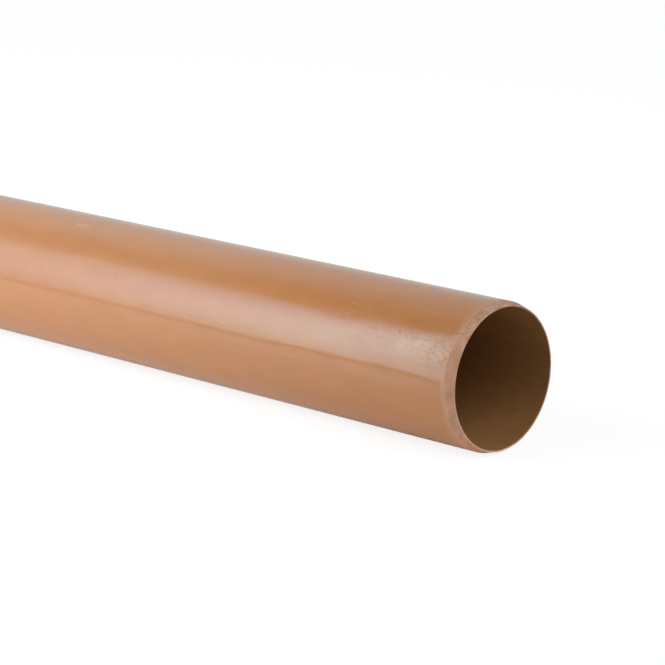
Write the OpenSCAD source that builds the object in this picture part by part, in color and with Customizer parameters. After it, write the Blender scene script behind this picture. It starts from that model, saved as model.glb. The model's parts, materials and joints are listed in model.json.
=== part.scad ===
// Plain-ended drainage pipe: one extruded PVC-U tube, cut square,
// with the outside of both ends chamfered so that they enter a socket.

/* [Pipe] */
// Length from end face to end face
pipe_length = 3000; // [500:10:6000]
// Outside diameter
outer_d = 110; // [82:1:200]
// Wall thickness
wall = 3.2; // [2:0.1:8]

/* [Spigot ends] */
// Angle between the chamfer and the pipe's axis, in degrees
chamfer_angle = 15; // [15:1:45]
// Width of the flat end face that the chamfer leaves
end_face = 1.1; // [0.5:0.1:1.5]

/* [Hidden] */
$fn = 96;
pvc_colour = "#C08457";

outer_r = outer_d / 2;
bore_r = outer_r - wall;
end_face_r = bore_r + end_face;
chamfer_length = (outer_r - end_face_r) / tan(chamfer_angle);
end_y = pipe_length / 2;
chamfer_start_y = end_y - chamfer_length;

// The wall's section. X is the distance from the pipe's axis,
// and Y the distance along it from the middle of the pipe.
module wall_section() {
    polygon([
        [bore_r, -end_y],
        [end_face_r, -end_y],
        [outer_r, -chamfer_start_y],
        [outer_r, chamfer_start_y],
        [end_face_r, end_y],
        [bore_r, end_y]
    ]);
}

// The tube lies along X, with the origin on its axis at mid-length.
module pipe() {
    color(pvc_colour)
        rotate([0, 90, 0])
            rotate_extrude()
                wall_section();
}

pipe();
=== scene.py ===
"""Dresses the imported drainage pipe: a smooth mesh, its PVC-U finishes, a floor, a lit sheet and a camera."""

import json
import logging
import math
from dataclasses import dataclass
from enum import Enum

import bpy
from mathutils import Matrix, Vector


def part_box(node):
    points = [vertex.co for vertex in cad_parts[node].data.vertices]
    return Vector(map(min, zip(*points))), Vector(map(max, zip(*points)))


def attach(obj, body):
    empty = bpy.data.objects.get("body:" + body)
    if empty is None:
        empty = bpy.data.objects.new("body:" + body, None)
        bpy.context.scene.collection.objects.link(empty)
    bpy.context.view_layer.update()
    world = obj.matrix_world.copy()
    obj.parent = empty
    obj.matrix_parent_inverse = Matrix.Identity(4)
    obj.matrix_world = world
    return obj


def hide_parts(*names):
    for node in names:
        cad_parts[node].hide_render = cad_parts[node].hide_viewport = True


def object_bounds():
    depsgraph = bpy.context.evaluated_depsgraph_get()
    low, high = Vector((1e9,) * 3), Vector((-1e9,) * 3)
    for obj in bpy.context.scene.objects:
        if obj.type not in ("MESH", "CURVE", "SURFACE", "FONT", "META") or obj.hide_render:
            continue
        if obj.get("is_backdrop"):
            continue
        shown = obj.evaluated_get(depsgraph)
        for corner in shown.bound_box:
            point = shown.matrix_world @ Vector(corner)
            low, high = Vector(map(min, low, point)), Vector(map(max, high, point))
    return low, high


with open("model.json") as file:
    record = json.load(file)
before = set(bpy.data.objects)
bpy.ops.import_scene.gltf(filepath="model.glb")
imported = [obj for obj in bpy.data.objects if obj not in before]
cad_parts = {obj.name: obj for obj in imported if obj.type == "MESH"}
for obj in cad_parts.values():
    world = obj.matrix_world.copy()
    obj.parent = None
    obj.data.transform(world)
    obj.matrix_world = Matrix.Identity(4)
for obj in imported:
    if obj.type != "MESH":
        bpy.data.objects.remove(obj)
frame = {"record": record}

CAD_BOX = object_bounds()
MM = 0.001
WHITE = "#FFFFFF"
# The range in which a noise stays nearly everywhere.
NOISE_LOW, NOISE_HIGH = 0.3, 0.7
LOG = logging.getLogger("drainage_pipe")

Tree = bpy.types.NodeTree
Node = bpy.types.Node
Socket = bpy.types.NodeSocket


def linear(hex_colour: str) -> tuple[float, float, float, float]:
    """Turns an sRGB hex colour into Blender's linear colour.

    Args:
        hex_colour: Six hex digits after a hash sign.

    Returns:
        Red, green, blue and an alpha of one.
    """
    channels = [int(hex_colour[i:i + 2], 16) / 255 for i in (1, 3, 5)]
    return tuple(c / 12.92 if c <= 0.04045 else ((c + 0.055) / 1.055) ** 2.4 for c in channels) + (1.0,)


def add_node(tree: Tree, kind: str, settings: dict | None = None,
             values: dict | None = None, links: dict | None = None) -> Node:
    """Adds one shader node with its settings, socket values and links.

    Args:
        tree: The material's or world's node tree.
        kind: The node's type name.
        settings: Node properties by name.
        values: Constants for input sockets, by socket name or number.
        links: Output sockets to link from, by input socket name or number.

    Returns:
        The new node.
    """
    node = tree.nodes.new(kind)
    for name, value in (settings or {}).items():
        setattr(node, name, value)
    for socket, value in (values or {}).items():
        node.inputs[socket].default_value = value
    for socket, source in (links or {}).items():
        tree.links.new(source, node.inputs[socket])
    return node


def new_material(name: str) -> tuple[bpy.types.Material, Tree, Node]:
    """Makes an empty node material with its output node.

    Args:
        name: The finish's plain name.

    Returns:
        The material, its node tree and its output node.
    """
    material = bpy.data.materials.new(name)
    material.use_nodes = True
    material.node_tree.nodes.clear()
    output = add_node(material.node_tree, "ShaderNodeOutputMaterial")
    return material, material.node_tree, output


def combine(tree: Tree, operation: str, *sources: Socket | float, clamp: bool = False) -> Socket:
    """Folds sockets and constants together with one arithmetic operation.

    Args:
        tree: The node tree.
        operation: Name of the Math node's operation.
        sources: Two or more sockets or numbers, taken from left to right.
        clamp: Whether each result is kept between 0 and 1.

    Returns:
        Socket with the result.
    """
    total = sources[0]
    for source in sources[1:]:
        node = add_node(tree, "ShaderNodeMath", {"operation": operation, "use_clamp": clamp})
        for socket, value in zip(node.inputs, (total, source)):
            if isinstance(value, Socket):
                tree.links.new(value, socket)
            else:
                socket.default_value = value
        total = node.outputs[0]
    return total


def weigh(tree: Tree, *terms: tuple[Socket, float], clamp: bool = False) -> Socket:
    """Adds up sockets, each times its weight.

    Args:
        tree: The node tree.
        terms: Sockets, each with its weight. One without weight is left out.
        clamp: Whether the sum is kept between 0 and 1.

    Returns:
        Socket with the sum.
    """
    parts = [combine(tree, "MULTIPLY", source, weight) for source, weight in terms if weight]
    return combine(tree, "ADD", *parts, clamp=clamp)


def lay_colours(tree: Tree, ground: str, *layers: tuple[Socket, str]) -> Socket:
    """Lays colours over a ground colour, one after another.

    Args:
        tree: The node tree.
        ground: The sRGB hex colour underneath.
        layers: Sockets with how much of each colour shows, each with that colour's sRGB hex value.

    Returns:
        Socket with the mixed colour.
    """
    colour = linear(ground)
    for share, laid_over in layers:
        node = add_node(tree, "ShaderNodeMix", {"data_type": "RGBA"}, links={"Factor": share})
        under, over = (socket for socket in node.inputs if socket.type == "RGBA")
        if isinstance(colour, Socket):
            tree.links.new(colour, under)
        else:
            under.default_value = colour
        over.default_value = linear(laid_over)
        colour = next(socket for socket in node.outputs if socket.type == "RGBA")
    return colour


@dataclass(frozen=True)
class Step:
    """A soft step: it goes from start to end while what it follows goes from low to high.

    Attributes:
        low: Where the step begins.
        high: Where it ends.
        start: Result up to low.
        end: Result from high on.
    """

    low: float
    high: float
    start: float = 0.0
    end: float = 1.0

    def build(self, tree: Tree, source: Socket) -> Socket:
        """Adds the step's node after the socket that it follows."""
        step = add_node(tree, "ShaderNodeMapRange", {"interpolation_type": "SMOOTHSTEP"}, {
            "From Min": self.low, "From Max": self.high, "To Min": self.start, "To Max": self.end,
        }, {"Value": source})
        return step.outputs[0]


@dataclass(frozen=True)
class Grain:
    """A noise on the pipe's wall, whose grains may be drawn out along the pipe.

    Attributes:
        along: Length of a grain along the pipe, in millimetres.
        across: Width of a grain, in millimetres.
        detail: Octaves of finer grain.
        shift: Slides the noise, so that two of them don't coincide.
    """

    along: float
    across: float
    detail: float = 2.0
    shift: float = 0.0

    def build(self, tree: Tree) -> Socket:
        """Adds the noise's nodes.

        Args:
            tree: A finish's node tree.

        Returns:
            Socket with the noise, about 0.5 on average.
        """
        coordinates = add_node(tree, "ShaderNodeTexCoord")
        drawn = add_node(tree, "ShaderNodeMapping", values={
            "Location": (self.shift, self.shift, self.shift),
            "Scale": (1 / (self.along * MM), 1 / (self.across * MM), 1 / (self.across * MM)),
        }, links={"Vector": coordinates.outputs["Object"]})
        noise = add_node(tree, "ShaderNodeTexNoise", values={"Scale": 1.0, "Detail": self.detail},
                         links={"Vector": drawn.outputs[0]})
        return noise.outputs["Fac"]


@dataclass(frozen=True)
class Wall:
    """Coordinates on the pipe's wall for the patterns of its finishes.

    Attributes:
        end_x: X of the +X end face, in metres.
        radius: The outside radius, in metres.
        cut_length: Length of the machined chamfer along the axis, in millimetres.
    """

    end_x: float
    radius: float
    cut_length: float

    def unrolled(self, tree: Tree) -> Socket:
        """Adds the nodes that unroll the wall flat.

        Args:
            tree: A finish's node tree.

        Returns:
            Socket with distance from the +X end, and arc upwards from the -Y side, in millimetres.
        """
        coordinates = add_node(tree, "ShaderNodeTexCoord")
        axes = add_node(tree, "ShaderNodeSeparateXYZ", links={0: coordinates.outputs["Object"]})
        distance = combine(tree, "MULTIPLY", combine(tree, "SUBTRACT", self.end_x, axes.outputs["X"]), 1 / MM)
        front = combine(tree, "MULTIPLY", axes.outputs["Y"], -1)
        angle = combine(tree, "ARCTAN2", axes.outputs["Z"], front)
        arc = combine(tree, "MULTIPLY", angle, self.radius / MM)
        return add_node(tree, "ShaderNodeCombineXYZ", links={0: distance, 1: arc}).outputs[0]

    def from_nearest_end(self, tree: Tree, from_end: Socket) -> Socket:
        """Turns a distance from the +X end, in millimetres, into the distance from the nearer end."""
        from_other = combine(tree, "SUBTRACT", 2 * self.end_x / MM, from_end)
        return combine(tree, "MINIMUM", from_end, from_other)


@dataclass(frozen=True)
class Effect:
    """What one kind of wear does to the skin where it is strongest.

    Attributes:
        look: What it looks like, which also keeps two kinds with equal numbers apart.
        pale: Share of the rubbed colour that it gives the skin.
        dark: Share of the colour of dirt.
        dull: Share of the roughness that worn-out skin has above clean skin.
        depth: How deep it goes, in millimetres.
    """

    look: str
    pale: float = 0.0
    dark: float = 0.0
    dull: float = 0.0
    depth: float = 0.0


class Wear(Enum):
    """The kinds of wear on the skin, each with its effect."""

    WORN = Effect("worn dull all over, in patches", dark=0.02, dull=0.25, depth=0.008)
    WHITENED = Effect("whitened in small clouds", pale=0.05)
    BORDER = Effect("whitened and matt beside the machined end", pale=0.104, dull=0.39)
    # Mostly rubs; one long band just under the highlight is also painted reflection.
    RUBBED_AND_REFLECTION = Effect("rubbed pale, with ragged edges", pale=1.0)
    SOILED = Effect("soiled in specks, with ragged edges", dark=0.6, dull=0.9, depth=0.01)
    SCRATCHED = Effect("scratched pale, in a line", pale=1.0)
    NICKED = Effect("scored in a line, with dirt in it", dark=1.0, dull=0.6, depth=0.12)
    PITTED = Effect("pitted, with dirt in the dent", dark=0.5, depth=0.3)


RAGGED_WEAR = (Wear.WORN, Wear.RUBBED_AND_REFLECTION, Wear.SOILED)


@dataclass(frozen=True)
class Mark:
    """One mark on the skin, an ellipse on the unrolled wall.

    Attributes:
        kind: What it is.
        distance: From the +X end face to its middle, in millimetres.
        angle: Round the pipe to its middle, from the -Y side upwards, in degrees.
        length: Along its long axis, in millimetres.
        width: Across, in millimetres.
        turn: Lean of the long axis from the pipe's own, in degrees.
        strength: How far it changes the skin, from 0 to 1.
    """

    kind: Wear
    distance: float
    angle: float
    length: float
    width: float
    turn: float
    strength: float

    def build(self, tree: Tree, flat: Socket, radius: float) -> Socket:
        """Adds the nodes of the mark's mask.

        Args:
            tree: A finish's node tree.
            flat: Socket with the unrolled coordinates in millimetres.
            radius: The pipe's radius in millimetres.

        Returns:
            Socket with the mask, from 0 outside to the mark's strength in its middle.
        """
        ellipse = add_node(tree, "ShaderNodeMapping", {"vector_type": "TEXTURE"}, {
            "Location": (self.distance, math.radians(self.angle) * radius, 0),
            "Rotation": (0, 0, math.radians(self.turn)),
            "Scale": (self.length / 2, self.width / 2, 1),
        }, {"Vector": flat})
        cone = add_node(tree, "ShaderNodeTexGradient", {"gradient_type": "SPHERICAL"},
                        links={0: ellipse.outputs[0]})
        return Step(0, 0.6, 0, self.strength).build(tree, cone.outputs["Fac"])


# Each row is a mark: its distance, angle, length, width, turn and strength.
HANDLING_ROWS = {
    Wear.WORN: (
        (52, 26, 150, 44, 0, 1.0), (16, 25, 50, 44, 0, 1.0)),
    Wear.SCRATCHED: (
        (9.5, 24, 34, 1.4, 90, 0.12), (78, 56, 15, 1.8, -9, 0.12), (111, 51, 18, 1.8, 8, 0.15),
        (104, 53, 9, 1.5, -14, 0.12)),
    Wear.NICKED: (
        (9.4, 44.5, 6.5, 2.8, 20, 0.4), (36, 34.4, 34, 1.4, 1, 0.16), (84, 34.2, 18, 1.4, -2, 0.16),
        (58.8, 36.2, 3.4, 1.2, 60, 0.55), (53, 34.5, 8, 0.8, 62, 0.2), (420, 93.5, 5, 1.2, 0, 0.5)),
    Wear.SOILED: (
        (14, 25, 40, 34, 5, 0.36), (50, 37, 120, 9, 0, 0.1), (65, 25, 120, 36, 0, 0.2),
        (74, 29, 7, 4, 20, 0.3), (88, 39, 13, 4, 48, 0.16), (99, 17.6, 5, 3, 0, 0.2)),
    Wear.RUBBED_AND_REFLECTION: (
        (30, 20, 14, 9, 30, 0.1), (35, 30, 20, 10, 0, 0.18), (53, 27, 26, 15, 20, 0.16),
        (43, 58, 14, 3, 0, 0.15), (94, 47, 16, 4, 48, 0.08), (428, 71, 22, 7, 0, 0.28),
        # The last row, a long faint band just under the highlight, is painted reflection as well as a rub.
        (318, -0.5, 60, 3, 0, 0.06), (125, 1, 340, 13, 0, 0.075)),
    Wear.PITTED: (
        (114.6, 39, 4.4, 1.7, 82, 0.5), (123, 22, 2, 1.4, 0, 0.2), (226, 37, 2.4, 1.6, 0, 0.35),
        (356, 31.4, 2.6, 1.8, 0, 0.45), (357.5, 29.2, 3.2, 2.0, 60, 0.5), (357, 27.2, 2.8, 1.8, 0, 0.4),
        (443, 23.2, 3.0, 2.0, 0, 0.4), (439.5, 21.6, 2.6, 1.8, 0, 0.45), (441, 20, 2.4, 1.6, 0, 0.35),
        (232, 9.5, 14, 3, 3, 0.12), (258, 10.5, 18, 3.4, 4, 0.12), (288, 9.5, 16, 3, -4, 0.12),
        (316, 10, 22, 3, 2, 0.12)),
}
HANDLING_MARKS = tuple(Mark(kind, *row) for kind, rows in HANDLING_ROWS.items() for row in rows)
CHATTER_START, CHATTER_PITCH, CHATTER_COUNT = 40, 2.5, 9
CHATTER_MARKS = tuple(
    Mark(Wear.SCRATCHED, CHATTER_START + CHATTER_PITCH * index, 27, 20, 1.3, 74, 0.12)
    for index in range(CHATTER_COUNT))
CUT_MARKS = (
    Mark(Wear.SOILED, 4, 15, 46, 40, 90, 0.2),
    Mark(Wear.NICKED, 7.7, 22, 36, 1.4, 90, 0.3),
    Mark(Wear.SOILED, 6.5, 45, 3.5, 3.5, 0, 0.35),
)


@dataclass(frozen=True)
class ExtrudedPvc:
    """Extruded PVC-U: a satin skin from the sizing sleeve, faintly streaked along the pipe.

    It is opaque and terracotta all through, so the eye sees an even body colour under a gloss that looks
    cool beside it. Stacking and dragging have left rubs, soiled patches, nicks and hairline scratches,
    most of them near the end, and a whitened border beside each machined end. Near the end, painted
    shade darkens the band above the highlight. A long pale band just under the highlight is painted
    reflection as well as a rub, and a film of dust on the upper side further along is also painted
    sheen.

    Attributes:
        wall: Coordinates on the pipe's wall.
        marks: The marks of handling that stand out one by one.
        name: The finish's name.
        colour: The plastic's body colour.
        streak_colour: The colour in the paler extrusion streaks.
        rub_and_reflection_colour: Plastic that is rubbed and whitened, and the painted reflection just under
            the highlight.
        soil_and_shade_colour: Dirt on the plastic, and the painted shade near the end.
        dust_and_sheen_colour: The film of dust, which is also a painted whitish sheen further along.
        ior: PVC's typical index of refraction.
        gloss_tint: Colour of the gloss at a straight look.
        gloss: Strength of the gloss beside that of clean PVC.
        roughness: Roughness of the clean skin.
        streak_roughness: How far the streaks change it, both ways.
        rub_roughness: What rubbing adds to it.
        dull_roughness: What wearing dull adds to it.
        streaks: The extrusion streaks.
        streak_share: How much of the streak colour shows in them.
        mottle: Slow changes of the plastic's colour.
        mottle_share: How much darker it is in them.
        dust_and_sheen_along: How the dust and its painted sheen come on, in millimetres from the +X end.
        dust_and_sheen_upwards: How they thin out below, in millimetres of arc.
        painted_shade_along: How the painted shade above the highlight fades, in millimetres from the +X end.
        painted_shade_upwards: How it thins out below, in millimetres of arc, so that it darkens only the band
            above the highlight.
        ragged_scale: Waves per millimetre of the ragged edges.
        ragged_reach: How far they stray along and round, in millimetres.
        general_wear: Share of the wear that is everywhere.
        general_whitening: Share of the whitening beyond that wear.
        patches: The patches of worn skin.
        patch_share: How worn it is in and between them.
        rub_grain: The grain of rubbed skin.
        rub_share: How rubbed it is in and between the grains.
        dirt: The specks of dirt in soiled skin.
        dirt_share: Where the specks begin.
        border: Width of the whitened border, in millimetres.
        waves: Slow waves from the haul-off.
        wave_height: Their height in millimetres.
        peel: The skin's fine unevenness.
        peel_height: Its height in millimetres.
        streak_height: Height of the streaks in millimetres.
        rub_height: Height of the burr on rubs in millimetres.
    """

    wall: Wall
    marks: tuple[Mark, ...]
    name: str = "extruded PVC-U"
    colour: str = "#B77E50"
    streak_colour: str = "#C1895A"
    rub_and_reflection_colour: str = "#E0BAA2"
    soil_and_shade_colour: str = "#70472A"
    dust_and_sheen_colour: str = "#D4C0B6"
    ior: float = 1.55
    gloss_tint: str = "#C4EFFF"
    gloss: float = 1.2
    roughness: float = 0.15
    streak_roughness: float = 0.02
    rub_roughness: float = 0.1
    dull_roughness: float = 0.5
    # Streaks of this kind are taken to be about 0.3 mm wide, which is too fine to show. They are drawn
    # four times as wide, so that they show.
    streaks: Grain = Grain(400, 1.2, detail=3)
    streak_share: Step = Step(0.45, 0.75, 0, 0.15)
    mottle: Grain = Grain(30, 12, detail=3, shift=3)
    mottle_share: Step = Step(NOISE_LOW, NOISE_HIGH, 0, 0.08)
    # Dust, and a painted whitish sheen further along.
    dust_and_sheen_along: Step = Step(120, 330, 0, 0.055)
    dust_and_sheen_upwards: Step = Step(-10, 40, 0.3, 1)
    # Painted shade near the end, in the band above the highlight.
    painted_shade_along: Step = Step(10, 150, 0.06, 0)
    painted_shade_upwards: Step = Step(28, 44, 0.1, 1)
    ragged_scale: float = 0.4
    ragged_reach: tuple[float, float, float] = (9, 7, 0)
    general_wear: float = 0.15
    general_whitening: float = 0.5
    patches: Grain = Grain(9, 6, shift=9)
    patch_share: Step = Step(0.35, 0.65, 0.4, 0.75)
    rub_grain: Grain = Grain(2.2, 1.8, shift=5)
    rub_share: Step = Step(NOISE_LOW, NOISE_HIGH, 0.3, 1)
    # Specks of dirt are taken to be a few tenths of a millimetre wide. They are drawn coarser, so that
    # they show.
    dirt: Grain = Grain(2.4, 2.0, shift=15)
    dirt_share: Step = Step(0.45, 0.67)
    border: float = 7.0
    waves: Grain = Grain(55, 20, detail=1, shift=23)
    wave_height: float = 0.5
    peel: Grain = Grain(6, 2.5, shift=29)
    peel_height: float = 0.01
    streak_height: float = 0.002
    rub_height: float = 0.003

    def build(self) -> bpy.types.Material:
        """Makes the material."""
        material, tree, output = new_material(self.name)
        flat = self.wall.unrolled(tree)
        axes = add_node(tree, "ShaderNodeSeparateXYZ", links={0: flat})
        from_end, arc = axes.outputs["X"], axes.outputs["Y"]
        wear = self.wear_masks(tree, flat, from_end)
        pale, dark, dull, depth = (
            weigh(tree, *((mask, getattr(kind.value, effect)) for kind, mask in wear.items()), clamp=True)
            for effect in ("pale", "dark", "dull", "depth"))
        streaks = self.streaks.build(tree)
        # The film of dust is also painted sheen: a whitish veil laid on the skin further along.
        dust = combine(tree, "MULTIPLY", self.dust_and_sheen_along.build(tree, from_end),
                       self.dust_and_sheen_upwards.build(tree, arc))
        # Painted shade: the soil colour darkens the band above the highlight near the end.
        painted_shade = combine(tree, "MULTIPLY", self.painted_shade_along.build(tree, from_end),
                        self.painted_shade_upwards.build(tree, arc))
        colour = lay_colours(
            tree, self.colour,
            (self.streak_share.build(tree, streaks), self.streak_colour),
            (self.mottle_share.build(tree, self.mottle.build(tree)), self.soil_and_shade_colour),
            (dust, self.dust_and_sheen_colour), (painted_shade, self.soil_and_shade_colour),
            (pale, self.rub_and_reflection_colour), (dark, self.soil_and_shade_colour))
        clean = Step(NOISE_LOW, NOISE_HIGH, self.roughness - self.streak_roughness,
                     self.roughness + self.streak_roughness).build(tree, streaks)
        rough = weigh(tree, (clean, 1.0), (pale, self.rub_roughness), (dull, self.dull_roughness))
        shader = add_node(tree, "ShaderNodeBsdfPrincipled", values={
            "IOR": self.ior,
            "Specular IOR Level": self.gloss / 2,
            "Specular Tint": linear(self.gloss_tint),
        }, links={
            "Base Color": colour,
            "Roughness": rough,
            "Normal": self.relief(tree, streaks, pale, depth),
        })
        tree.links.new(shader.outputs[0], output.inputs["Surface"])
        return material

    def wear_masks(self, tree: Tree, flat: Socket, from_end: Socket) -> dict[Wear, Socket]:
        """Adds a mask for each kind of wear: the single marks, and the small wear between them.

        Args:
            tree: The node tree.
            flat: Socket with the unrolled coordinates in millimetres.
            from_end: Socket with the distance from the +X end in millimetres.

        Returns:
            Sockets with the masks, mostly from 0 to 1.
        """
        ragged = self.ragged(tree, flat)
        marks = {kind: [] for kind in Wear}
        for mark in self.marks:
            coordinates = ragged if mark.kind in RAGGED_WEAR else flat
            marks[mark.kind].append(mark.build(tree, coordinates, self.wall.radius / MM))
        worn = combine(tree, "ADD", *marks[Wear.WORN], self.general_wear)
        whitened = combine(tree, "ADD", worn, self.general_whitening)
        # This mask also holds the painted reflection just under the highlight.
        rubbed = combine(tree, "ADD", *marks[Wear.RUBBED_AND_REFLECTION])
        soiled = combine(tree, "ADD", *marks[Wear.SOILED])
        patches = self.patch_share.build(tree, self.patches.build(tree))
        rub_grain = self.rub_share.build(tree, self.rub_grain.build(tree))
        dirt = self.dirt_share.build(tree, self.dirt.build(tree))
        cut = self.wall.cut_length
        return {
            Wear.WORN: combine(tree, "MULTIPLY", worn, patches),
            Wear.WHITENED: combine(tree, "MULTIPLY", whitened, self.clouds(tree)),
            Wear.BORDER: Step(cut, cut + self.border, 1, 0).build(
                tree, self.wall.from_nearest_end(tree, from_end)),
            Wear.RUBBED_AND_REFLECTION: combine(tree, "MULTIPLY", rubbed, rub_grain),
            Wear.SOILED: combine(tree, "MULTIPLY", soiled, dirt),
            Wear.SCRATCHED: combine(tree, "ADD", *marks[Wear.SCRATCHED], self.hairlines(tree)),
            Wear.NICKED: combine(tree, "ADD", *marks[Wear.NICKED]),
            Wear.PITTED: combine(tree, "ADD", *marks[Wear.PITTED], self.grit(tree)),
        }

    def ragged(self, tree: Tree, flat: Socket) -> Socket:
        """Adds coordinates that stray from the unrolled ones, so that an ellipse gets ragged edges.

        Args:
            tree: The node tree.
            flat: Socket with the unrolled coordinates in millimetres.

        Returns:
            Socket with the ragged coordinates.
        """
        shake = add_node(tree, "ShaderNodeTexNoise", values={"Scale": self.ragged_scale, "Detail": 3.0},
                         links={"Vector": flat})
        centred = add_node(tree, "ShaderNodeVectorMath", {"operation": "SUBTRACT"}, {1: (0.5, 0.5, 0.5)},
                           {0: shake.outputs["Color"]})
        strayed = add_node(tree, "ShaderNodeVectorMath", {"operation": "MULTIPLY_ADD"},
                           {1: self.ragged_reach}, {0: centred.outputs[0], 2: flat})
        return strayed.outputs[0]

    @staticmethod
    def clouds(tree: Tree) -> Socket:
        """Adds the small clouds of whitened skin, one to seven millimetres across, from 0 to 1."""
        large = Step(0.35, 0.65, 0.25, 1).build(tree, Grain(7, 5, shift=7).build(tree))
        small = Step(0.4, 0.65).build(tree, Grain(1.7, 1.1, shift=8).build(tree))
        return combine(tree, "MULTIPLY", large, small)

    @staticmethod
    def hairlines(tree: Tree) -> Socket:
        """Adds sparse hairline scratches along the pipe: contour lines of a drawn-out noise."""
        contour = combine(tree, "SUBTRACT", Grain(260, 7, detail=1, shift=11).build(tree), 0.5)
        line = Step(0.0, 0.008, 1, 0).build(tree, combine(tree, "ABSOLUTE", contour, 0))
        where = Step(0.56, 0.66, 0, 0.07).build(tree, Grain(45, 20, detail=1, shift=17).build(tree))
        return combine(tree, "MULTIPLY", line, where)

    @staticmethod
    def grit(tree: Tree) -> Socket:
        """Adds dark specks of grit about a millimetre wide, in a third of cells of 25 millimetres."""
        coordinates = add_node(tree, "ShaderNodeTexCoord")
        cells = add_node(tree, "ShaderNodeTexVoronoi", values={"Scale": 1 / (25 * MM)},
                         links={"Vector": coordinates.outputs["Object"]})
        chance = add_node(tree, "ShaderNodeSeparateColor", links={0: cells.outputs["Color"]}).outputs[0]
        speck = Step(0.02, 0.035, 0.5, 0).build(tree, cells.outputs["Distance"])
        return combine(tree, "MULTIPLY", speck, Step(0.7, 0.72).build(tree, chance))

    def relief(self, tree: Tree, streaks: Socket, pale: Socket, depth: Socket) -> Socket:
        """Adds the relief: slow waves of the wall, fine streaks, and dents under the marks.

        Args:
            tree: The node tree.
            streaks: Socket with the extrusion streaks.
            pale: Socket with the pale marks.
            depth: Socket with the depth of the dents in millimetres.

        Returns:
            Socket with the normal.
        """
        height = weigh(tree, (self.waves.build(tree), self.wave_height), (streaks, self.streak_height),
                       (self.peel.build(tree), self.peel_height), (pale, self.rub_height), (depth, -1))
        bump = add_node(tree, "ShaderNodeBump", values={"Strength": 1.0, "Distance": MM},
                        links={"Height": height})
        return bump.outputs[0]


@dataclass(frozen=True)
class BorePvc:
    """Extruded PVC-U inside: cooled in air and so duller than the outside, with long soft streaks.

    Attributes:
        name: The finish's name.
        colour: The plastic's body colour.
        streak_colour: The colour in the darker streaks, and of the dust that lies in the bore.
        ior: PVC's typical index of refraction.
        roughness: Roughness where the bore is cleanest.
        dust_roughness: What the dust adds to it.
        streaks: The extrusion streaks.
        streak_share: How much of the streak colour shows in them.
        streak_height: Their height in millimetres.
        dust: The clouds of dust.
        dust_share: How much of its colour shows in them.
    """

    name: str = "extruded PVC-U bore"
    colour: str = "#A07749"
    streak_colour: str = "#96663F"
    ior: float = 1.53
    roughness: float = 0.36
    dust_roughness: float = 0.12
    streaks: Grain = Grain(300, 2.5, detail=3, shift=31)
    streak_share: Step = Step(0.35, 0.75, 0, 0.35)
    streak_height: float = 0.01
    dust: Grain = Grain(14, 9, detail=4, shift=37)
    dust_share: Step = Step(0.35, 0.7, 0, 0.35)

    def build(self) -> bpy.types.Material:
        """Makes the material."""
        material, tree, output = new_material(self.name)
        streaks = self.streaks.build(tree)
        dust = self.dust.build(tree)
        colour = lay_colours(
            tree, self.colour,
            (self.streak_share.build(tree, streaks), self.streak_colour),
            (self.dust_share.build(tree, dust), self.streak_colour))
        rough = Step(NOISE_LOW, NOISE_HIGH, self.roughness, self.roughness + self.dust_roughness)
        bump = add_node(tree, "ShaderNodeBump", values={"Strength": 1.0, "Distance": self.streak_height * MM},
                        links={"Height": streaks})
        shader = add_node(tree, "ShaderNodeBsdfPrincipled", values={"IOR": self.ior}, links={
            "Base Color": colour,
            "Roughness": rough.build(tree, dust),
            "Normal": bump.outputs[0],
        })
        tree.links.new(shader.outputs[0], output.inputs["Surface"])
        return material


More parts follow.
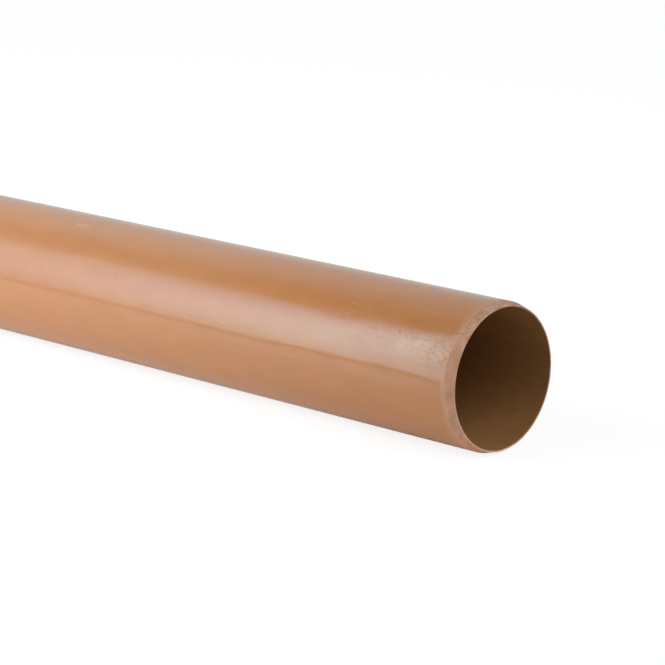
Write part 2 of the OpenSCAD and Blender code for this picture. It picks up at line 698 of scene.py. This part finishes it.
@dataclass(frozen=True)
class MachinedPvc:
    """Machined PVC-U: matt and a little torn, clouded by dust that the cutter pressed in.

    Attributes:
        wall: Coordinates on the pipe's wall.
        marks: The soiled places that stand out.
        name: The finish's name.
        colour: The cut plastic's colour.
        torn_and_shade_colour: The colour of the fuzz that the cutter tore up, of dirt caught in it, and of the
            painted shade on the upper part.
        pale_colour: The colour where the cut is clean and whitened, and of the painted light on its underside,
            top, end face and outer arris.
        ior: PVC's typical index of refraction.
        gloss: Share of the plain gloss that the torn surface keeps.
        roughness: Mean roughness.
        fuzz_roughness: How far the fuzz changes it, both ways.
        ring_pitch: Distance between the cutter's rings in millimetres.
        ring_share: How much of the torn colour shows in them.
        fuzz: The torn fuzz.
        fuzz_share: Where it begins.
        fuzz_and_shade_upwards: How it grows upwards, in millimetres of arc; the growth is painted shade on the
            upper part.
        clouds: The clouds of dust.
        dusty: How dark the dustiest places are.
        clean: How pale the cleanest places are.
        arris: The painted highlight on the end face and outer arris: how pale, by millimetres from the end.
        border: How pale the chamfer's inner border is.
        border_start: Where it begins, as a share of the chamfer's length.
        painted_light_below: Painted light on the underside: how pale it is, by millimetres of arc.
        painted_light_above: Painted light on the top, likewise.
        relief_height: Height of the rings and the fuzz in millimetres.
    """

    wall: Wall
    marks: tuple[Mark, ...]
    name: str = "machined PVC-U"
    colour: str = "#B89074"
    torn_and_shade_colour: str = "#8F6A4C"
    pale_colour: str = "#D8AF9C"
    ior: float = 1.55
    gloss: float = 0.2
    roughness: float = 0.7
    fuzz_roughness: float = 0.1
    # A cutter's rings and fuzz are taken to be about 0.3 mm apart, which is too fine to show. They are
    # drawn three to five times as coarse, so that they show.
    ring_pitch: float = 0.9
    ring_share: Step = Step(0.45, 0.7, 0, 0.18)
    fuzz: Grain = Grain(1.3, 1.4, shift=41)
    fuzz_share: Step = Step(0.46, 0.6)
    # Painted shade: more of the torn colour higher up.
    fuzz_and_shade_upwards: Step = Step(30, 50, 0.12, 0.46)
    clouds: Grain = Grain(5, 9, shift=43)
    dusty: Step = Step(0.4, 0.7, 0, 0.12)
    clean: Step = Step(0.6, 0.3, 0, 0.3)
    # Painted highlight on the end face and the outer arris.
    arris: Step = Step(0.1, 0.5, 0.35, 0)
    border: float = 0.3
    border_start: float = 0.65
    # Painted light on the underside and the top.
    painted_light_below: Step = Step(-50, 0, 0.35, 0)
    painted_light_above: Step = Step(58, 85, 0, 0.35)
    relief_height: float = 0.03

    def build(self) -> bpy.types.Material:
        """Makes the material."""
        material, tree, output = new_material(self.name)
        flat = self.wall.unrolled(tree)
        axes = add_node(tree, "ShaderNodeSeparateXYZ", links={0: flat})
        from_end = self.wall.from_nearest_end(tree, axes.outputs["X"])
        arc = axes.outputs["Y"]
        rings = self.rings(tree)
        fuzz = self.fuzz.build(tree)
        clouds = self.clouds.build(tree)
        # Painted shade: the torn colour grows darker up the chamfer.
        fuzz_and_shade = combine(tree, "MULTIPLY", self.fuzz_share.build(tree, fuzz),
                        self.fuzz_and_shade_upwards.build(tree, arc))
        dirt = [mark.build(tree, flat, self.wall.radius / MM) for mark in self.marks]
        torn = combine(tree, "ADD", fuzz_and_shade, self.dusty.build(tree, clouds), *dirt, clamp=True)
        border = Step(self.border_start * self.wall.cut_length, self.wall.cut_length, 0, self.border)
        # Painted light: the underside and top are paler, and the end face and outer arris carry a painted
        # highlight.
        pale = combine(tree, "ADD", self.arris.build(tree, from_end), border.build(tree, from_end),
                       self.clean.build(tree, clouds), self.painted_light_below.build(tree, arc),
                       self.painted_light_above.build(tree, arc), clamp=True)
        colour = lay_colours(
            tree, self.colour, (pale, self.pale_colour),
            (self.ring_share.build(tree, rings), self.torn_and_shade_colour), (torn, self.torn_and_shade_colour))
        rough = Step(NOISE_LOW, NOISE_HIGH, self.roughness - self.fuzz_roughness,
                     self.roughness + self.fuzz_roughness)
        bump = add_node(tree, "ShaderNodeBump", values={"Strength": 1.0, "Distance": self.relief_height * MM},
                        links={"Height": combine(tree, "ADD", fuzz, rings)})
        shader = add_node(tree, "ShaderNodeBsdfPrincipled", values={
            "IOR": self.ior,
            "Specular IOR Level": self.gloss / 2,
        }, links={
            "Base Color": colour,
            "Roughness": rough.build(tree, fuzz),
            "Normal": bump.outputs[0],
        })
        tree.links.new(shader.outputs[0], output.inputs["Surface"])
        return material

    def rings(self, tree: Tree) -> Socket:
        """Adds the rings that the cutter leaves: a noise that changes only along the axis."""
        coordinates = add_node(tree, "ShaderNodeTexCoord")
        axes = add_node(tree, "ShaderNodeSeparateXYZ", links={0: coordinates.outputs["Object"]})
        noise = add_node(tree, "ShaderNodeTexNoise", {"noise_dimensions": "1D"},
                         {"Scale": 1 / (self.ring_pitch * MM), "Detail": 2.0}, {"W": axes.outputs["X"]})
        return noise.outputs["Fac"]


class Surface(Enum):
    """The pipe's three ways of being finished, in the order of the mesh's material slots."""

    SKIN = 0
    CUT = 1
    BORE = 2


@dataclass
class DrainPipe:
    """The pipe: one tube with both ends chamfered outside.

    Attributes:
        half_length: Half of the pipe's length, in metres.
        outer_radius: Radius of the outside.
        bore_radius: Radius of the bore.
        chamfer_length: Length of each chamfer along the axis.
        face_radius: Outer radius of the flat end face.
        segments: Flat faces round the pipe.
        wall_rings: Rings of faces along the outside, and along the bore.
        arris: Width of the rounding on each machined edge.
        arris_steps: Faces across that rounding.
        smooth_angle: Edges sharper than this stay sharp, in degrees.
    """

    half_length: float
    outer_radius: float
    bore_radius: float
    chamfer_length: float
    face_radius: float
    segments: int = 256
    wall_rings: int = 60
    arris: float = 0.2 * MM
    arris_steps: int = 2
    smooth_angle: float = 12.0

    @classmethod
    def from_frame(cls, node: str, chamfer_angle: float) -> "DrainPipe":
        """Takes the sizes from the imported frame's box and mounts.

        Args:
            node: The CAD node's name.
            chamfer_angle: Angle between the chamfer and the axis, in degrees.

        Returns:
            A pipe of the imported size.
        """
        low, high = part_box(node)
        mounts = {mount["name"]: mount["dims"] for mount in frame["record"]["mounts"]}
        half_length = (high[0] - low[0]) / 2
        outer_radius = mounts["spigot_plus_x"]["r_mm"] * MM
        chamfer_length = half_length - mounts["spigot_plus_x"]["length_mm"] * MM / 2
        return cls(
            half_length=half_length,
            outer_radius=outer_radius,
            bore_radius=mounts["bore"]["r_mm"] * MM,
            chamfer_length=chamfer_length,
            face_radius=outer_radius - chamfer_length * math.tan(math.radians(chamfer_angle)),
        )

    @property
    def barrel_end(self) -> float:
        """X of the ring where the parallel part ends and the +X chamfer begins."""
        return self.half_length - self.chamfer_length

    def build(self) -> bpy.types.Object:
        """Models, rounds and dresses the tube.

        Returns:
            The pipe's object, at the origin.
        """
        pipe = self.model_tube()
        self.round_machined_edges(pipe)
        self.dress(pipe)
        return pipe

    def model_tube(self) -> bpy.types.Object:
        """Draws a circle out ring by ring round the wall's section, and joins the last to the first."""
        bpy.ops.object.select_all(action="DESELECT")
        bpy.ops.mesh.primitive_circle_add(
            vertices=self.segments, radius=self.outer_radius,
            location=(-self.barrel_end, 0, 0), rotation=(0, math.pi / 2, 0))
        pipe = bpy.context.object
        pipe.name = "pvc_u_pipe"
        bpy.ops.object.transform_apply(location=True, rotation=True, scale=True)
        bpy.ops.object.mode_set(mode="EDIT")
        bpy.ops.mesh.select_all(action="SELECT")
        for _ in range(self.wall_rings):
            self.draw_out(2 * self.barrel_end / self.wall_rings)
        self.draw_out(self.chamfer_length, self.face_radius / self.outer_radius)
        self.draw_out(0, self.bore_radius / self.face_radius)
        for _ in range(self.wall_rings):
            self.draw_out(-2 * self.half_length / self.wall_rings)
        self.draw_out(0, self.face_radius / self.bore_radius)
        self.draw_out(self.chamfer_length, self.outer_radius / self.face_radius)
        bpy.ops.mesh.select_all(action="SELECT")
        bpy.ops.mesh.remove_doubles(threshold=0.001 * MM)
        bpy.ops.mesh.normals_make_consistent(inside=False)
        bpy.ops.object.mode_set(mode="OBJECT")
        return pipe

    @staticmethod
    def draw_out(along: float, widen: float = 1.0) -> None:
        """Extrudes the selected ring along the pipe and scales it about the axis.

        Args:
            along: Distance along +X.
            widen: Factor on the ring's radius.
        """
        bpy.ops.mesh.extrude_region_move(TRANSFORM_OT_translate={"value": (along, 0, 0)})
        if widen != 1.0:
            bpy.ops.transform.resize(value=(1, widen, widen), center_override=(0, 0, 0))

    def round_machined_edges(self, pipe: bpy.types.Object) -> None:
        """Breaks the sharp edges at both ends with a small rounding.

        Args:
            pipe: The modelled tube.
        """
        rings = [
            (self.barrel_end, self.outer_radius),
            (self.half_length, self.face_radius),
            (self.half_length, self.bore_radius),
        ]
        mesh = pipe.data
        bpy.ops.object.mode_set(mode="EDIT")
        bpy.ops.mesh.select_mode(type="EDGE")
        bpy.ops.mesh.select_all(action="DESELECT")
        bpy.ops.object.mode_set(mode="OBJECT")
        for edge in mesh.edges:
            ends = [mesh.vertices[i].co for i in edge.vertices]
            edge.select = any(all(self.is_at(point, *ring) for point in ends) for ring in rings)
        bpy.ops.object.mode_set(mode="EDIT")
        bpy.ops.mesh.bevel(offset=self.arris, segments=self.arris_steps, affect="EDGES")
        bpy.ops.object.mode_set(mode="OBJECT")

    @staticmethod
    def is_at(point: Vector, distance: float, radius: float) -> bool:
        """Whether a point is on the ring at this distance from the middle, at either end of the pipe."""
        near = 0.01 * MM
        return abs(abs(point.x) - distance) < near and abs(math.hypot(point.y, point.z) - radius) < near

    def surface_at(self, point: Vector) -> Surface:
        """Which finish the pipe has at a point of its surface."""
        if math.hypot(point.y, point.z) < self.bore_radius + self.arris / 10:
            return Surface.BORE
        return Surface.CUT if abs(point.x) > self.barrel_end else Surface.SKIN

    def dress(self, pipe: bpy.types.Object) -> None:
        """Gives each face its finish and smooths the shading inside each surface.

        Args:
            pipe: The modelled tube.
        """
        mesh = pipe.data
        wall = Wall(self.half_length, self.outer_radius, self.chamfer_length / MM)
        skin = ExtrudedPvc(wall, HANDLING_MARKS + CHATTER_MARKS)
        for finish in (skin, MachinedPvc(wall, CUT_MARKS), BorePvc()):
            mesh.materials.append(finish.build())
        for face in mesh.polygons:
            face.material_index = self.surface_at(face.center).value
        bpy.ops.object.select_all(action="DESELECT")
        pipe.select_set(True)
        bpy.context.view_layer.objects.active = pipe
        bpy.ops.object.shade_smooth_by_angle(angle=math.radians(self.smooth_angle))


@dataclass(frozen=True)
class Card:
    """A plain flat sheet in the studio, which shades or carries light and is no part of the pipe.

    Attributes:
        name: Plain name of the sheet.
        low: Lowest corner, in metres.
        high: Highest corner; the sheet is flat along the axis where both are equal.
        colour: sRGB hex colour.
        hidden: Whether the camera looks through it.
    """

    name: str
    low: tuple[float, float, float]
    high: tuple[float, float, float]
    colour: str
    hidden: bool = True

    def build(self) -> tuple[bpy.types.Object, Tree, Node, Node]:
        """Adds the sheet at its place with a matt finish.

        Returns:
            The sheet, its material's node tree, the tree's matt shader and a node with the axes.
        """
        sizes = [high - low for low, high in zip(self.low, self.high)]
        upright = sizes[1] == 0
        bpy.ops.object.select_all(action="DESELECT")
        bpy.ops.mesh.primitive_plane_add(
            size=1, rotation=(math.pi / 2 if upright else 0, 0, 0),
            location=[(low + high) / 2 for low, high in zip(self.low, self.high)])
        sheet = bpy.context.object
        sheet.name = self.name
        sheet.scale = (sizes[0], sizes[2] if upright else sizes[1], 1)
        bpy.ops.object.transform_apply(location=True, rotation=True, scale=True)
        sheet.visible_camera = not self.hidden
        material, tree, output = new_material(self.name)
        matt = add_node(tree, "ShaderNodeBsdfDiffuse", values={"Color": linear(self.colour)})
        tree.links.new(matt.outputs[0], output.inputs["Surface"])
        coordinates = add_node(tree, "ShaderNodeTexCoord")
        axes = add_node(tree, "ShaderNodeSeparateXYZ", links={0: coordinates.outputs["Object"]})
        sheet.data.materials.append(material)
        sheet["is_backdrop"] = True
        return sheet, tree, matt, axes


@dataclass(frozen=True)
class Profile:
    """A level that changes along one axis, in a straight line from stop to stop.

    Attributes:
        axis: Letter of the axis.
        stops: Positions in metres, each with its level from 0 to 1.
    """

    axis: str
    stops: tuple[tuple[float, float], ...]

    def build(self, tree: Tree, axes: Node) -> Socket:
        """Adds the nodes that work out the level at a point.

        Args:
            tree: The sheet's node tree.
            axes: Separate XYZ node with the point.

        Returns:
            Socket with the level.
        """
        low = self.stops[0][0]
        high = self.stops[-1][0]
        share = add_node(tree, "ShaderNodeMapRange", values={"From Min": low, "From Max": high},
                         links={"Value": axes.outputs[self.axis]})
        ramp = add_node(tree, "ShaderNodeValToRGB", links={0: share.outputs[0]})
        elements = ramp.color_ramp.elements
        while len(elements) < len(self.stops):
            elements.new(0.5)
        for element, (position, level) in zip(elements, self.stops):
            element.position = (position - low) / (high - low)
            element.color = (level, level, level, 1)
        return ramp.outputs[0]


@dataclass(frozen=True)
class Lobe:
    """A soft patch of the room's light, brightest along one direction.

    Attributes:
        towards: Direction from the pipe to the middle of the patch.
        sharpness: Power of the cosine by which it fades.
        strength: Radiance at its middle, where 1 shows white as white.
    """

    towards: tuple[float, float, float]
    sharpness: float
    strength: float

    def build(self, tree: Tree, direction: Socket) -> Socket:
        """Adds the nodes that work out the patch's light in a direction.

        Args:
            tree: The world's node tree.
            direction: Socket with the direction looked at.

        Returns:
            Socket with the light.
        """
        along = add_node(tree, "ShaderNodeVectorMath", {"operation": "DOT_PRODUCT"},
                         {1: Vector(self.towards).normalized()}, {0: direction})
        facing = combine(tree, "MAXIMUM", along.outputs["Value"], 0)
        fade = combine(tree, "POWER", facing, self.sharpness)
        return combine(tree, "MULTIPLY", fade, self.strength)


@dataclass(frozen=True)
class View:
    """A long lens off the pipe's +X end, looking down on it from its -Y side.

    Attributes:
        azimuth: Turn of the camera from the -Y side towards the +X end, in degrees.
        elevation: How steeply it looks down, in degrees.
        lens: Focal length in millimetres.
        sensor: Width of the sensor in millimetres.
        distance: From the camera to the end face's centre, along the line of sight, in metres.
        end_right: How far the end face's centre is to the right of the line of sight, in metres.
        end_below: How far it is below it, in metres.
    """

    azimuth: float = 43.85
    elevation: float = 13.92
    lens: float = 146.2
    sensor: float = 36.0
    distance: float = 1.907
    end_right: float = 0.1208
    end_below: float = 0.0327

    def build(self, end: Vector) -> bpy.types.Object:
        """Sets the camera.

        Args:
            end: Centre of the pipe's +X end face.

        Returns:
            The camera.
        """
        azimuth = math.radians(self.azimuth)
        elevation = math.radians(self.elevation)
        back = Vector((
            math.sin(azimuth) * math.cos(elevation),
            -math.cos(azimuth) * math.cos(elevation),
            math.sin(elevation),
        ))
        turn = (-back).to_track_quat("-Z", "Y")
        offset = Vector((-self.end_right, self.end_below, 0))
        offset.rotate(turn)
        camera = bpy.data.objects.new("camera", bpy.data.cameras.new("camera"))
        bpy.context.scene.collection.objects.link(camera)
        camera.data.sensor_width = self.sensor
        camera.data.lens = self.lens
        camera.rotation_mode = "QUATERNION"
        camera.rotation_quaternion = turn
        camera.location = end + offset + back * self.distance
        bpy.context.scene.camera = camera
        return camera


@dataclass
class Studio:
    """Floor, dark card, lit sheet and room light round the pipe's +X end.

    The lit sheet stands on the floor along the pipe's -Y side, and its reflection is the long soft
    highlight. The card hangs over the pipe and is the darker band above that highlight.

    Attributes:
        end: Centre of the pipe's +X end face.
        floor_z: Height of the floor.
        floor_reach: Half the side of the square floor.
        floor_colour: The floor's warm white in what it throws back on the pipe.
        floor_beyond: The floor's colour beyond the pipe's end.
        floor_fade: Length over which that colour comes on.
        shadow_tone: How dark the floor's shadow is to the camera.
        paper_glow: How white the floor is to the camera in full shadow.
        strip_y: Where the floor's grey strip before the lit sheet ends.
        strip_tone: Colour of that strip in what it throws back on the pipe.
        wall_y: The lit sheet's distance from the pipe's axis, on the -Y side.
        wall_top: Height of its upper edge above the axis.
        cards_end: X where the card and the grey strip end.
        card_tone: Colour of the card.
        along: The lit sheet's light along the pipe.
        upwards: Its light from its foot to its top.
        glow: Its radiance where it is brightest.
        far_glow: Colour of its light at its far, -X part, where the near part is white.
        far_stretch: Where that colour turns into white, along X.
        backdrop: How white the floor is in reflections, across the pipe.
        nearing: How that white falls off towards the pipe's end.
        overhead: How far the card lets the room through, across the pipe.
        room: The room's light.
        room_reflected: How white the room is in reflections.
    """

    end: Vector
    floor_z: float
    floor_reach: float = 30.0
    floor_colour: str = "#F5E8D6"
    floor_beyond: str = "#D8D9E2"
    floor_fade: float = 0.08
    shadow_tone: str = "#868686"
    paper_glow: float = 0.85
    strip_y: float = -0.44
    strip_tone: str = "#505050"
    wall_y: float = -0.85
    wall_top: float = 1.9
    cards_end: float = 1.18
    card_tone: str = "#202020"
    along: Profile = Profile("X", (
        (-2.6, 0.30), (-0.7, 0.22), (-0.15, 0.30), (0.3, 0.62), (0.42, 0.745), (0.5, 0.86), (0.62, 1.0),
        (0.7, 1.0), (1.05, 0.62), (1.4, 0.33), (1.5, 0.2)))
    upwards: Profile = Profile("Z", (
        (-0.055, 0.235), (-0.045, 0.42), (-0.02, 0.55), (0.1, 0.635), (0.3, 0.84), (0.6, 0.965), (0.85, 1.0),
        (1.1, 0.95), (1.4, 0.28), (1.9, 0.0)))
    glow: float = 5.38
    far_glow: str = "#DCE9FF"
    far_stretch: Step = Step(0.1, 0.55)
    backdrop: Profile = Profile("Y", (
        (-0.44, 0.0), (-0.38, 1.0), (-0.18, 1.0), (-0.10, 0.3), (-0.03, 0.25), (0.05, 0.6)))
    nearing: Profile = Profile("X", ((1.28, 1.0), (1.44, 0.4)))
    overhead: Profile = Profile("Y", (
        (-0.85, 0.0), (-0.3, 0.0), (-0.1, 0.05), (0.0, 0.18), (0.2, 0.45), (0.45, 0.72), (0.8, 0.9),
        (1.3, 1.0)))
    room: tuple[Lobe, ...] = (
        Lobe((0.72, 0.08, 0.66), 9, 3.55),
        Lobe((0, 1, 0), 2, 0.35),
        Lobe((-1, 0, 0), 2, 0.1),
    )
    room_reflected: float = 0.67

    def build(self) -> None:
        """Makes the floor, the card, the lit sheet and the room's light."""
        self.make_floor()
        self.make_card()
        self.make_lit_sheet()
        self.make_room_light()

    @staticmethod
    def backdrop_share(tree: Tree, reflected: Socket | float) -> Socket:
        """Works out how much of the white backdrop a ray sees.

        Args:
            tree: Node tree of the floor or the room.
            reflected: Share that reflections and glass see, where the camera sees all.

        Returns:
            Socket with the share.
        """
        path = add_node(tree, "ShaderNodeLightPath")
        bounced = combine(tree, "MAXIMUM", path.outputs["Is Glossy Ray"], path.outputs["Is Transmission Ray"])
        partly = combine(tree, "MULTIPLY", bounced, reflected)
        return combine(tree, "MAXIMUM", path.outputs["Is Camera Ray"], partly)

    @staticmethod
    def show(tree: Tree, shader: Node) -> None:
        """Makes a shader the one that a sheet shows."""
        tree.links.new(shader.outputs[0], tree.get_output_node("ALL").inputs["Surface"])

    def make_floor(self) -> bpy.types.Object:
        """Lays a pale floor, which the camera sees as white paper with a faint shadow."""
        reach = self.floor_reach
        card = Card("floor", (-reach, -reach, self.floor_z), (reach, reach, self.floor_z),
                    self.floor_colour, hidden=False)
        floor, tree, pale, axes = card.build()
        beyond = Step(self.end.x, self.end.x + self.floor_fade).build(tree, axes.outputs["X"])
        strip = combine(
            tree, "MULTIPLY",
            Step(self.cards_end, self.cards_end + MM, 1, 0).build(tree, axes.outputs["X"]),
            Step(self.strip_y - MM, self.strip_y, 1, 0).build(tree, axes.outputs["Y"]))
        tint = lay_colours(tree, self.floor_colour, (beyond, self.floor_beyond), (strip, self.strip_tone))
        tree.links.new(tint, pale.inputs["Color"])
        shaded = add_node(tree, "ShaderNodeBsdfDiffuse", values={"Color": linear(self.shadow_tone)})
        white = add_node(tree, "ShaderNodeEmission", values={"Strength": self.paper_glow})
        paper = add_node(tree, "ShaderNodeAddShader", links={0: shaded.outputs[0], 1: white.outputs[0]})
        reflected = combine(tree, "MULTIPLY", self.backdrop.build(tree, axes), self.nearing.build(tree, axes))
        self.show(tree, add_node(tree, "ShaderNodeMixShader", links={
            0: self.backdrop_share(tree, reflected), 1: pale.outputs[0], 2: paper.outputs[0]}))
        return floor

    def make_card(self) -> bpy.types.Object:
        """Hangs a dark card over the pipe, which lets more of the room through towards the far side."""
        start = self.along.stops[0][0]
        card = Card("ceiling_card", (start, self.wall_y, self.wall_top),
                    (self.cards_end, self.overhead.stops[-1][0], self.wall_top), self.card_tone)
        sheet, tree, dark, axes = card.build()
        clear = add_node(tree, "ShaderNodeBsdfTransparent")
        self.show(tree, add_node(tree, "ShaderNodeMixShader", links={
            0: self.overhead.build(tree, axes), 1: dark.outputs[0], 2: clear.outputs[0]}))
        return sheet

    def make_lit_sheet(self) -> bpy.types.Object:
        """Stands a sheet on the floor that shines like a lit diffuser."""
        start = self.along.stops[0][0]
        stop = self.along.stops[-1][0]
        card = Card("diffuser", (start, self.wall_y, self.floor_z),
                    (stop, self.wall_y, self.wall_top), WHITE)
        sheet, tree, _, axes = card.build()
        level = combine(tree, "MULTIPLY", self.along.build(tree, axes),
                        self.upwards.build(tree, axes), self.glow)
        nearness = self.far_stretch.build(tree, axes.outputs["X"])
        tint = lay_colours(tree, self.far_glow, (nearness, WHITE))
        self.show(tree, add_node(tree, "ShaderNodeEmission", links={"Color": tint, "Strength": level}))
        return sheet

    def make_room_light(self) -> None:
        """Lights the room in soft lobes, and shows it white to the camera."""
        world = bpy.data.worlds.new("room")
        bpy.context.scene.world = world
        world.use_nodes = True
        tree = world.node_tree
        tree.nodes.clear()
        direction = add_node(tree, "ShaderNodeTexCoord").outputs["Generated"]
        total = combine(tree, "ADD", *(lobe.build(tree, direction) for lobe in self.room))
        room = add_node(tree, "ShaderNodeBackground", values={"Color": linear(WHITE)},
                        links={"Strength": total})
        white = add_node(tree, "ShaderNodeBackground", values={"Color": linear(WHITE), "Strength": 1.0})
        mix = add_node(tree, "ShaderNodeMixShader", links={
            0: self.backdrop_share(tree, self.room_reflected), 1: room.outputs[0], 2: white.outputs[0]})
        add_node(tree, "ShaderNodeOutputWorld", links={"Surface": mix.outputs[0]})


def main() -> None:
    """Builds the pipe, then the studio round it and the camera, and reports each piece."""
    logging.basicConfig(level=logging.INFO, format="%(name)s: %(message)s")
    bpy.context.scene.view_settings.view_transform = "Standard"
    low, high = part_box("pipe")
    piece = DrainPipe.from_frame("pipe", chamfer_angle=15.0).build()
    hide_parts("pipe")
    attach(piece, "root")
    LOG.info("%s: %d faces", piece.name, len(piece.data.polygons))
    end = Vector((high[0], 0, 0))
    Studio(end=end, floor_z=low[2]).build()
    camera = View().build(end)
    LOG.info("%s: %.1f mm lens", camera.name, camera.data.lens)
    boxes = {"cad": CAD_BOX, "visual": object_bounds()}
    {name: [list(corner) for corner in box] for name, box in boxes.items()}


if __name__ == "__main__":
    main()
